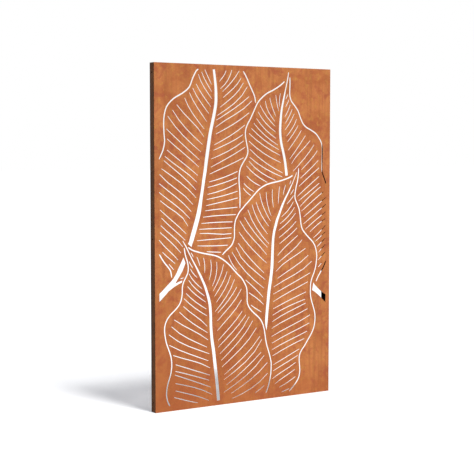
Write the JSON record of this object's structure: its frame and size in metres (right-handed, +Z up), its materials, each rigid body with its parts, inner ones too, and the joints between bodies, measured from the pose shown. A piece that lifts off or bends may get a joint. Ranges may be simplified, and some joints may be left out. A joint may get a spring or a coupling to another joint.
{
  "type": "laser cut metal screen",
  "caption": "Upright rust-finished steel screen: a thin sheet cut through with large leaves, plug welded to a mitred frame of folded channels, with bolt holes in its sides.",
  "frame": {"origin": "on the ground, under the middle of the screen's width and depth", "axes": "+Z up along the screen's height, +X along its width to the right seen from the front, -Y out of the cut face"},
  "size_m": [1.1, 0.048, 1.8],
  "materials": {
    "rusted_sheet": "matt, mottled orange-brown rust patina on bare weathering steel, no paint",
    "rusted_frame": "matt, darker brown rust patina on bare weathering steel, no paint",
    "weld_metal": "as-laid weld metal with a dark rust patina"
  },
  "bodies": {
    "root": {"face_sheet": "rusted_sheet", "left_stile": "rusted_frame", "right_stile": "rusted_frame", "top_rail": "rusted_frame", "bottom_rail": "rusted_frame", "left_plug_welds": "weld_metal", "right_plug_welds": "weld_metal", "top_plug_welds": "weld_metal", "bottom_plug_welds": "weld_metal", "top_left_corner_weld": "weld_metal", "top_right_corner_weld": "weld_metal", "bottom_left_corner_weld": "weld_metal", "bottom_right_corner_weld": "weld_metal"}
  },
  "joints": []
}
